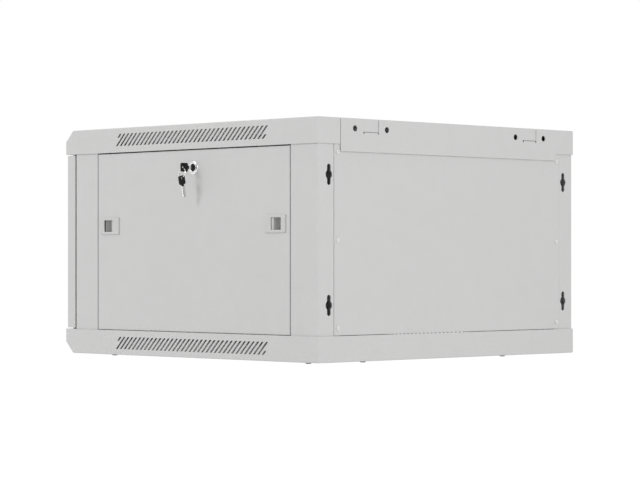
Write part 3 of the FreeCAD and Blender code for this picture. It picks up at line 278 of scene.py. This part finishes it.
cabinetPaint = {"colour": (0.605, 0.605, 0.602, 1), "grain": 850.0, "drift": 0.025, "roughness": 0.52,
                "glossDrift": 0.05, "marks": 0.06, "smears": 9.0, "specular": 0.4, "coat": 0.0,
                "coatRoughness": 0.3, "bump": 0.35, "bumpDepth": 0.00025}
latchSkin = dict(cabinetPaint, colour=(0.585, 0.585, 0.58, 1), grain=2600.0, roughness=0.44, bumpDepth=0.0001,
                 smears=60.0, marks=0.1)
screwPaint = dict(cabinetPaint, colour=(0.74, 0.74, 0.73, 1), grain=3000.0, roughness=0.35, bumpDepth=0.00006)
blackOxide = dict(cabinetPaint, colour=(0.035, 0.036, 0.038, 1), grain=4000.0, drift=0.2, roughness=0.38,
                  bumpDepth=0.00005)
keyHead = dict(cabinetPaint, colour=(0.01, 0.01, 0.0105, 1), grain=3500.0, drift=0.15, roughness=0.3,
               bumpDepth=0.00005, marks=0.12, smears=90.0, specular=0.22)
lockBlack = dict(keyHead, colour=(0.009, 0.009, 0.0095, 1), roughness=0.3, specular=0.15)
sealSkin = dict(cabinetPaint, colour=(0.02, 0.02, 0.021, 1), grain=1800.0, drift=0.25, roughness=0.72,
                bumpDepth=0.0002, marks=0.0)
zincPlate = {"colour": (0.6, 0.61, 0.63, 1), "lines": 1400.0, "patches": 420.0, "contrast": 0.16,
             "smears": 50.0, "marks": 0.15, "roughness": 0.3, "bump": 0.15, "bumpDepth": 0.0001}
chromePlate = dict(zincPlate, colour=(0.74, 0.74, 0.75, 1), patches=60.0, contrast=0.03, marks=0.08,
                   roughness=0.07, bump=0.03)
nickelPlate = dict(zincPlate, colour=(0.84, 0.83, 0.81, 1), lines=2600.0, patches=80.0, contrast=0.08,
                   marks=0.12, roughness=0.16, bump=0.1)
doorPane = {"colour": (0.80, 0.85, 0.84, 1), "dusty": (0.9, 0.9, 0.9, 1), "smears": 7.0, "marks": 0.05,
            "roughness": 0.01, "ior": 1.5}

finishes = {
    "powder_coat": paintedFinish("cabinetPaint", cabinetPaint),
    "rack_steel": paintedFinish("railPaint", cabinetPaint),
    "latch_plastic": paintedFinish("latchSkin", latchSkin),
    "door_glass": glassFinish("doorPane", doorPane),
    "seal_rubber": paintedFinish("sealSkin", sealSkin),
    "lock_chrome": metalFinish("chromePlate", chromePlate),
    "lock_core": paintedFinish("lockBlack", lockBlack),
    "zinc_steel": metalFinish("zincPlate", zincPlate),
    "key_plastic": paintedFinish("keyHead", keyHead),
    "key_steel": metalFinish("nickelPlate", nickelPlate),
    "black_screw": paintedFinish("blackOxide", blackOxide),
    "white_screw": paintedFinish("screwPaint", screwPaint),
}

for node in nodes.values():
    for materialSlot in node.material_slots:
        slotName = materialSlot.material.name.split(".")[0]
        materialSlot.material = finishes[slotName]
print("finishes on", len(nodes), "cabinet parts")


# modelling helpers
def startPiece(name):
    piece = bpy.context.object
    piece.name = name
    piece.data.name = name
    return piece


def leaveEdit(piece):
    if piece.mode == "EDIT":
        bpy.ops.object.mode_set(mode="OBJECT")


def openForPicking(piece, modes):
    # clears every selection, on the objects and in the mesh
    leaveEdit(piece)
    bpy.ops.object.select_all(action="DESELECT")
    piece.select_set(True)
    bpy.context.view_layer.objects.active = piece
    bpy.context.tool_settings.mesh_select_mode = modes
    bpy.ops.object.mode_set(mode="EDIT")
    bpy.ops.mesh.select_all(action="DESELECT")
    bpy.ops.object.mode_set(mode="OBJECT")


def pickFaces(piece, chosen):
    # leaves edit mode on, with just the chosen faces selected
    openForPicking(piece, (False, False, True))
    for face in piece.data.polygons:
        face.select = chosen(face)
    bpy.ops.object.mode_set(mode="EDIT")


def pickEdges(piece, chosen):
    # the same for edges, chosen by their two ends
    openForPicking(piece, (False, True, False))
    points = [vertex.co for vertex in piece.data.vertices]
    for edge in piece.data.edges:
        edge.select = chosen(points[edge.vertices[0]], points[edge.vertices[1]])
    bpy.ops.object.mode_set(mode="EDIT")


def roundBlank(name, radius, low, high, sides):
    # a round blank about Z between two heights
    bpy.ops.object.select_all(action="DESELECT")
    bpy.ops.mesh.primitive_cylinder_add(vertices=sides, radius=radius, depth=high - low,
                                        location=(0, 0, (low + high) / 2))
    blank = startPiece(name)
    bpy.ops.object.transform_apply(location=True, rotation=True, scale=True)
    return blank


def squareBlank(name, middle, size, turn=(0, 0, 0)):
    bpy.ops.object.select_all(action="DESELECT")
    bpy.ops.mesh.primitive_cube_add(size=1, location=middle, rotation=turn, scale=size)
    blank = startPiece(name)
    bpy.ops.object.transform_apply(location=True, rotation=True, scale=True)
    return blank


def settle(piece, smooth=35):
    # the place goes into the mesh, the faces point outwards, and only gentle bends are shaded round
    leaveEdit(piece)
    bpy.ops.object.select_all(action="DESELECT")
    piece.select_set(True)
    bpy.context.view_layer.objects.active = piece
    bpy.ops.object.transform_apply(location=True, rotation=True, scale=True)
    bpy.ops.object.mode_set(mode="EDIT")
    bpy.ops.mesh.select_all(action="SELECT")
    bpy.ops.mesh.remove_doubles(threshold=0.000002)
    bpy.ops.mesh.normals_make_consistent(inside=False)
    bpy.ops.object.mode_set(mode="OBJECT")
    bpy.ops.object.shade_smooth_by_angle(angle=math.radians(smooth))
    return piece


def applyModifier(piece, kind, **settings):
    leaveEdit(piece)
    bpy.context.view_layer.objects.active = piece
    modifier = piece.modifiers.new(kind.lower(), kind)
    for name, value in settings.items():
        setattr(modifier, name, value)
    bpy.ops.object.modifier_apply(modifier=modifier.name)


def cutAway(piece, cutter):
    applyModifier(piece, "BOOLEAN", operation="DIFFERENCE", solver="EXACT", object=cutter)
    bpy.data.objects.remove(cutter, do_unlink=True)


def addCopy(pattern, name, matrix):
    copy = pattern.copy()
    copy.data = pattern.data.copy()
    copy.name = name
    copy.data.name = name
    bpy.context.scene.collection.objects.link(copy)
    copy.data.transform(matrix)
    return copy


def joinPieces(pieces, name):
    bpy.ops.object.select_all(action="DESELECT")
    for piece in pieces:
        piece.select_set(True)
    bpy.context.view_layer.objects.active = pieces[0]
    if len(pieces) > 1:
        bpy.ops.object.join()
    return startPiece(name)


def finishPiece(piece, finish, body, slot, *replaced):
    piece.data.materials.clear()
    piece.data.materials.append(finishes[finish])
    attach(piece, body)
    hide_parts(*replaced)


def bodyOf(nodeName):
    for body, members in frame["record"]["behaviour"]["bodies"].items():
        if nodeName in members:
            return body


# cross-recess screws: a domed head, a tapered cross and a shank with a chamfered end
coverScrews = {"head": 0.0095, "headTall": 0.0035, "dome": 0.0016, "shank": 0.005, "long": 0.012,
               "chamfer": 0.001, "endShare": 0.6, "recess": 0.0019, "crossLong": 0.0052,
               "crossWide": 0.0011, "crossTaper": 0.45, "turn": 0.4, "sides": 32}
topScrews = dict(coverScrews, headTall=0.0014, dome=0.0009, recess=0.0010)
panelScrews = dict(coverScrews, head=0.0074, headTall=0.002, dome=0.0012, shank=0.004, long=0.008,
                   chamfer=0.0008, recess=0.0012, crossLong=0.0042, crossWide=0.0009, turn=0.2)
railBolts = dict(coverScrews, head=0.011, headTall=0.0033, dome=0.0018, shank=0.006, recess=0.0018,
                 crossLong=0.0060, crossWide=0.0013, turn=0.9)
hair = 0.00001  # how near a point counts as on a plane


def makeScrew(name, size):
    screw = roundBlank(name, size["head"] / 2, 0, size["headTall"], size["sides"])
    top = size["headTall"] - hair
    pickEdges(screw, lambda a, b: a.z > top and b.z > top)
    bpy.ops.mesh.bevel(offset=size["dome"], segments=4, profile=0.55, affect="EDGES")
    pickFaces(screw, lambda face: face.normal.z < -0.9)
    bpy.ops.mesh.inset(thickness=(size["head"] - size["shank"]) / 2, depth=0)
    bpy.ops.mesh.extrude_region_move(TRANSFORM_OT_translate={"value": (0, 0, size["chamfer"] - size["long"])})
    bpy.ops.mesh.extrude_region_move(TRANSFORM_OT_translate={"value": (0, 0, -size["chamfer"])})
    bpy.ops.transform.resize(value=(size["endShare"], size["endShare"], 1))
    leaveEdit(screw)
    for turn in (0, math.pi / 2):
        cutter = squareBlank("crossCutter", (0, 0, top + size["recess"] * 0.1),
                             (size["crossLong"], size["crossWide"], size["recess"] * 2.2),
                             (0, 0, turn + size["turn"]))
        pickFaces(cutter, lambda face: face.normal.z < -0.9)
        bpy.ops.transform.resize(value=(size["crossTaper"], size["crossTaper"], 1))
        cutAway(screw, cutter)
    return settle(screw)


def separateSolids(nodeName, reach=0.03):
    # lowest and highest corners of the small solids in one node, which stand further apart than reach
    groups = []
    for vertex in nodes[nodeName].data.vertices:
        for group in groups:
            if (vertex.co - group[0]).length < reach:
                group.append(vertex.co.copy())
                break
        else:
            groups.append([vertex.co.copy()])
    boxes = []
    for group in groups:
        low = Vector([min(point[i] for point in group) for i in range(3)])
        high = Vector([max(point[i] for point in group) for i in range(3)])
        boxes.append((low, high))
    return boxes


facing = {"up": Matrix.Identity(4), "down": Matrix.Rotation(math.pi, 4, "Y"),
          "back": Matrix.Rotation(-math.pi / 2, 4, "X")}
screwTwist = 1.3  # each screw stops at another angle


def placeScrews(nodeName, size, finish, pointing):
    pattern = makeScrew("screwPattern", size)
    copies = []
    for number, (low, high) in enumerate(separateSolids(nodeName)):
        place = (low + high) / 2
        way = pointing(place)
        if way == "up":
            place.z = high.z - size["headTall"]
        elif way == "down":
            place.z = low.z + size["headTall"]
        else:
            place.y = high.y - size["headTall"]
        turned = Matrix.Translation(place) @ facing[way] @ Matrix.Rotation(number * screwTwist, 4, "Z")
        copies.append(addCopy(pattern, nodeName + "Copy" + str(number), turned))
    bpy.data.objects.remove(pattern, do_unlink=True)
    row = joinPieces(copies, nodeName + "Detailed")
    finishPiece(row, finish, bodyOf(nodeName), finish, nodeName)


placeScrews("top_cover_screws", topScrews, "white_screw", lambda place: "up")
placeScrews("bottom_cover_screws", coverScrews, "black_screw", lambda place: "down")
placeScrews("rear_panel_screws", panelScrews, "white_screw", lambda place: "back")
placeScrews("rack_rail_bolts", railBolts, "zinc_steel", lambda place: "down" if place.z > 0 else "up")
print("screws placed")


# cylinder locks: a rounded chrome bezel on a barrel, and a black plug with its keyway
lockShape = {"bezel": 0.022, "bezelTall": 0.002, "bezelRound": 0.0016, "barrel": 0.016, "bore": 0.01215,
             "boreEase": 0.0004, "plug": 0.012, "plugProud": 0.0004, "plugRound": 0.0005, "keyWide": 0.0023,
             "keyTall": 0.0076, "keyDeep": 0.012, "tail": 0.009, "tailLong": 0.0035, "over": 0.001}


def makeBarrel(long):
    look = lockShape
    barrel = roundBlank("barrelPattern", look["bezel"] / 2, 0, look["bezelTall"], 64)
    top = look["bezelTall"] - hair
    pickEdges(barrel, lambda a, b: a.z > top and b.z > top)
    bpy.ops.mesh.bevel(offset=look["bezelRound"], segments=5, affect="EDGES")
    pickFaces(barrel, lambda face: face.normal.z < -0.9)
    bpy.ops.mesh.inset(thickness=(look["bezel"] - look["barrel"]) / 2, depth=0)
    bpy.ops.mesh.extrude_region_move(TRANSFORM_OT_translate={"value": (0, 0, -long)})
    leaveEdit(barrel)
    cutAway(barrel, roundBlank("boreCutter", look["bore"] / 2, -long - look["over"],
                               look["bezelTall"] + look["over"], 64))
    rim = (look["bore"] / 2 + 0.0003) ** 2
    pickEdges(barrel, lambda a, b: a.z > top and b.z > top and a.x ** 2 + a.y ** 2 < rim)
    bpy.ops.mesh.bevel(offset=look["boreEase"], segments=2, affect="EDGES")
    return settle(barrel)


def makePlug(long):
    look = lockShape
    face = look["bezelTall"] + look["plugProud"]
    plug = roundBlank("plugPattern", look["plug"] / 2, -long, face, 48)
    pickEdges(plug, lambda a, b: a.z > face - hair and b.z > face - hair)
    bpy.ops.mesh.bevel(offset=look["plugRound"], segments=3, affect="EDGES")
    pickFaces(plug, lambda side: side.normal.z < -0.9)
    bpy.ops.mesh.inset(thickness=(look["plug"] - look["tail"]) / 2, depth=0)
    bpy.ops.mesh.extrude_region_move(TRANSFORM_OT_translate={"value": (0, 0, -look["tailLong"])})
    leaveEdit(plug)
    cutAway(plug, squareBlank("keywayCutter", (0, 0, face - look["keyDeep"] / 2 + look["over"]),
                              (look["keyTall"], look["keyWide"], look["keyDeep"] + look["over"] * 2)))
    return settle(plug)


jointAt = {joint["name"]: Vector(joint["pos_m"]) for joint in frame["record"]["behaviour"]["joints"]
           if "pos_m" in joint}
outward = Matrix.Rotation(math.pi / 2, 4, "Y")
lockFacing = {"right_lock": 0.0, "left_lock": math.pi, "door_lock": -math.pi / 2}
for lockName, turn in lockFacing.items():
    place = Matrix.Translation(jointAt[lockName + "_turn"]) @ Matrix.Rotation(turn, 4, "Z") @ outward
    low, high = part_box(lockName + "_barrel")
    long = max(high - low) if lockName == "door_lock" else (high - low).x
    long -= lockShape["bezelTall"]
    for part, maker, finish in (("_barrel", makeBarrel, "lock_chrome"), ("_plug", makePlug, "lock_core")):
        piece = maker(long)
        piece.data.transform(place)
        piece.name = lockName + part + "Detailed"
        finishPiece(piece, finish, bodyOf(lockName + part), finish, lockName + part)
print("locks placed")


# keys: a moulded head with a sunk panel and a split ring, and a blade with milled grooves
keyShape = {"bowLong": 0.0142, "bowTall": 0.014, "bowWall": 0.0026, "corner": 0.0026, "ease": 0.0004,
            "rim": 0.0016, "slope": 0.0003, "sunk": 0.0004, "hole": 0.005, "seenHole": 0.0034, "edge": 0.0016,
            "neckLong": 0.0026, "neckTall": 0.0056, "neckWall": 0.0022, "neckEase": 0.0006, "overlap": 0.001,
            "bladeTall": 0.0060, "bladeWall": 0.0019, "tip": 0.0018, "groove": 0.0009, "grooveDeep": 0.00045,
            "grooveRise": 0.0009, "grooveStart": 0.002, "cuts": (0.0016, 0.0010, 0.0019), "firstCut": 0.006,
            "cutPitch": 0.004}


def makeBow():
    # the neck end of the head is at x = 0 and its thickness lies along Y
    look = keyShape
    bow = squareBlank("bowPattern", (look["bowLong"] / 2, 0, 0),
                      (look["bowLong"], look["bowWall"], look["bowTall"]))
    pickEdges(bow, lambda a, b: abs(a.y - b.y) > 0.001)
    bpy.ops.mesh.bevel(offset=look["corner"], segments=5, affect="EDGES")
    pickEdges(bow, lambda a, b: abs(a.y - b.y) < hair)
    bpy.ops.mesh.bevel(offset=look["ease"], segments=2, affect="EDGES")
    pickFaces(bow, lambda face: abs(face.normal.y) > 0.99 and face.area > 0.00005)
    bpy.ops.mesh.inset(thickness=look["rim"], depth=0, use_individual=True)
    bpy.ops.mesh.inset(thickness=look["slope"], depth=-look["sunk"], use_individual=True)
    leaveEdit(bow)
    hole = roundBlank("holeCutter", look["seenHole"] / 2, -look["bowTall"], look["bowTall"], 28)
    hole.data.transform(Matrix.Translation((look["bowLong"] - look["hole"] / 2 - look["edge"], 0, 0))
                        @ Matrix.Rotation(math.pi / 2, 4, "X"))
    cutAway(bow, hole)
    neck = squareBlank("neckPattern", ((look["overlap"] - look["neckLong"]) / 2, 0, 0),
                       (look["neckLong"] + look["overlap"], look["neckWall"], look["neckTall"]))
    pickFaces(neck, lambda face: face.normal.x < -0.9)
    bpy.ops.transform.resize(value=(1, 0.92, 0.9))
    pickEdges(neck, lambda a, b: abs(a.x - b.x) > 0.002)
    bpy.ops.mesh.bevel(offset=look["neckEase"], segments=3, affect="EDGES")
    leaveEdit(neck)
    return settle(joinPieces([bow, neck], "bowPattern"))


def makeBlade(long):
    # a flat blank behind the neck, its lower edge cut to bitting and its sides grooved
    look = keyShape
    start = -look["neckLong"]
    blade = squareBlank("bladePattern", ((start - long) / 2, 0, 0),
                        (long + start, look["bladeWall"], look["bladeTall"]))
    pickEdges(blade, lambda a, b: abs(a.y - b.y) > 0.001 and a.x < start - 0.002)
    bpy.ops.mesh.bevel(offset=look["tip"], segments=3, affect="EDGES")
    leaveEdit(blade)
    for side in (-1, 1):
        middle = ((start - long) / 2 - look["grooveStart"], side * look["bladeWall"] / 2,
                  side * look["grooveRise"])
        cutAway(blade, squareBlank("grooveCutter", middle, (long, look["grooveDeep"] * 2, look["groove"])))
    for number, depth in enumerate(look["cuts"]):
        middle = (look["firstCut"] - long + look["cutPitch"] * number, 0, -look["bladeTall"] / 2)
        cutAway(blade, squareBlank("notchCutter", middle, (depth, 0.004, depth), (0, math.pi / 4, 0)))
    return settle(blade)


ringShape = {"radius": 0.00725, "wire": 0.0004, "pitch": 0.00075, "lean": math.radians(10), "turns": 2,
             "steps": 96}


def makeSplitRing():
    # wire wound about X
    look = ringShape
    bpy.ops.object.select_all(action="DESELECT")
    bpy.ops.mesh.primitive_circle_add(vertices=8, radius=look["wire"], location=(0, 0, look["radius"]),
                                      rotation=(math.pi / 2, 0, 0))
    ring = startPiece("key_ringSplit")
    bpy.ops.object.transform_apply(location=True, rotation=True, scale=True)
    ring.data.transform(Matrix.Rotation(math.pi, 4, "Z"))
    applyModifier(ring, "SCREW", axis="X", angle=2 * math.pi * look["turns"],
                  screw_offset=look["pitch"] * look["turns"], iterations=1,
                  steps=look["steps"], render_steps=look["steps"])
    return settle(ring)


keyTurn = jointAt["key_ring_swing"]
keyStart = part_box("key_bow")[1].x - keyShape["bowLong"]
keyPlace = Matrix.Translation((keyStart, keyTurn.y, jointAt["right_lock_turn"].z))
spareTurn = jointAt["spare_key_swing"]
spareShape = {"lean": math.radians(12), "twist": math.radians(9), "hang": 0.0015, "blade": 0.020}
reach = keyShape["bowLong"] - keyShape["hole"] / 2 - keyShape["edge"]
spareStart = Vector((spareTurn.x - reach * math.sin(spareShape["lean"]), spareTurn.y,
                     spareTurn.z - spareShape["hang"] - reach * math.cos(spareShape["lean"])))
sparePlace = (Matrix.Translation(spareStart) @ Matrix.Rotation(spareShape["lean"] - math.pi / 2, 4, "Y")
              @ Matrix.Rotation(spareShape["twist"], 4, "X"))
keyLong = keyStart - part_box("key_blade")[0].x
keyPieces = (("key_bow", makeBow(), keyPlace, "key_plastic"),
             ("spare_key_bow", makeBow(), sparePlace, "key_plastic"),
             ("key_blade", makeBlade(keyLong), keyPlace, "key_steel"),
             ("spare_key_blade", makeBlade(spareShape["blade"]), sparePlace, "key_steel"))
for nodeName, piece, place, finish in keyPieces:
    piece.data.transform(place)
    piece.name = nodeName + "Detailed"
    finishPiece(piece, finish, bodyOf(nodeName), finish, nodeName)
splitRing = makeSplitRing()
ringMiddle = Vector((keyTurn.x + ringShape["radius"] * math.sin(ringShape["lean"]), keyTurn.y,
                     keyTurn.z - ringShape["radius"] * math.cos(ringShape["lean"])))
splitRing.data.transform(Matrix.Translation(ringMiddle) @ Matrix.Rotation(-ringShape["lean"], 4, "Y")
                         @ Matrix.Translation((-ringShape["pitch"], 0, 0)))
finishPiece(splitRing, "key_steel", "key_ring", "key_steel", "key_ring")
print("keys placed")


# moulded latches: the same shapes with their sharp edges eased
latchShape = {"ease": 0.00035, "steps": 2, "merge": 0.000002, "flat": 1, "sharp": 40}


def easedCopy(nodeName, look):
    source = nodes[nodeName]
    copy = source.copy()
    copy.data = source.data.copy()
    bpy.context.scene.collection.objects.link(copy)
    copy.parent = None
    copy.name = nodeName + "Eased"
    copy.data.name = copy.name
    pickFaces(copy, lambda face: True)
    bpy.ops.mesh.remove_doubles(threshold=look["merge"])
    bpy.ops.mesh.dissolve_limited(angle_limit=math.radians(look["flat"]))
    leaveEdit(copy)
    applyModifier(copy, "BEVEL", width=look["ease"], segments=look["steps"], limit_method="ANGLE",
                  angle_limit=math.radians(look["sharp"]))
    bpy.ops.object.shade_smooth_by_angle(angle=math.radians(30))
    finishPiece(copy, "latch_plastic", bodyOf(nodeName), "latch_plastic", nodeName)


for nodeName in sorted(nodes):
    if "latch" in nodeName:
        easedCopy(nodeName, latchShape)
print("latches eased")


studio = {"floorColour": (0.82, 0.82, 0.82, 1), "floorGlow": 0.5, "floorDrop": 0.35, "worldLevel": 0.62,
          "keyPower": 84.0, "fillPower": 37.0, "topPower": 9.0}


def seenDirectly(tree, place):
    # one for what the camera, a mirror or clear glass shows, nought for light on the object
    path = addNode(tree, "ShaderNodeLightPath", place)
    mirror = mathNode(tree, "MAXIMUM", (place[0] + 200, place[1]), path.outputs["Is Camera Ray"],
                      path.outputs["Is Glossy Ray"])
    return mathNode(tree, "MAXIMUM", (place[0] + 400, place[1]), mirror, path.outputs["Is Transmission Ray"])


def buildStudio():
    world = bpy.data.worlds.new("studioAir")
    bpy.context.scene.world = world
    world.use_nodes = True
    tree = world.node_tree
    background = tree.nodes["Background"]
    background.inputs["Color"].default_value = (1, 1, 1, 1)
    level = remap(tree, (-200, 0), seenDirectly(tree, (-800, 0)), studio["worldLevel"], 1.0)
    feed(tree, level, background.inputs["Strength"])

    bpy.ops.object.select_all(action="DESELECT")
    bpy.ops.mesh.primitive_plane_add(size=14, location=(0, 0, cadBox[0].z - studio["floorDrop"]))
    floor = bpy.context.object
    floor.name = "studioFloor"
    bpy.ops.object.transform_apply(location=True, rotation=True, scale=True)
    material, tree, surface = newMaterial("studioPaper")
    paper = placeGroup(tree, sprayedGrain, (-300, 0), Colour=studio["floorColour"], Grain_per_metre=60.0,
                       Tone_drift=0.0, Roughness=0.9, Roughness_drift=0.02)
    feed(tree, paper["Colour"], surface.inputs["Base Color"])
    feed(tree, paper["Roughness"], surface.inputs["Roughness"])
    surface.inputs["Specular IOR Level"].default_value = 0.0
    surface.inputs["Emission Color"].default_value = (1, 1, 1, 1)
    glow = mathNode(tree, "MULTIPLY", (200, -500), seenDirectly(tree, (-500, -500)), studio["floorGlow"])
    feed(tree, glow, surface.inputs["Emission Strength"])
    floor.data.materials.append(material)


def softLight(name, place, size, power):
    middle = (cadBox[0] + cadBox[1]) / 2
    lamp = bpy.data.lights.new(name, "AREA")
    lamp.shape = "SQUARE"
    lamp.size = size
    lamp.energy = power
    holder = bpy.data.objects.new(name, lamp)
    bpy.context.scene.collection.objects.link(holder)
    holder.location = place
    holder.rotation_euler = (middle - Vector(place)).to_track_quat("-Z", "Y").to_euler()


def addCamera():
    view = {"place": (2.828, 2.553, -0.0293), "towards": (-0.704, -0.710, 0.0), "lens": 135.27,
            "shiftUp": 0.03025}
    camera = bpy.data.cameras.new("roomCamera")
    camera.lens = view["lens"]
    camera.sensor_width = 36
    camera.shift_y = view["shiftUp"]
    camera.clip_end = 60
    holder = bpy.data.objects.new("roomCamera", camera)
    bpy.context.scene.collection.objects.link(holder)
    holder.location = view["place"]
    holder.rotation_euler = Vector(view["towards"]).to_track_quat("-Z", "Y").to_euler()
    bpy.context.scene.camera = holder


buildStudio()
softLight("keyLight", (4.3, -2.4, 2.5), 1.6, studio["keyPower"])
softLight("fillLight", (0.3, 3.2, 1.0), 1.8, studio["fillPower"])
softLight("topLight", (0.0, -0.4, 2.6), 2.2, studio["topPower"])
addCamera()
bpy.context.scene.view_settings.view_transform = "Standard"
print("studio ready")
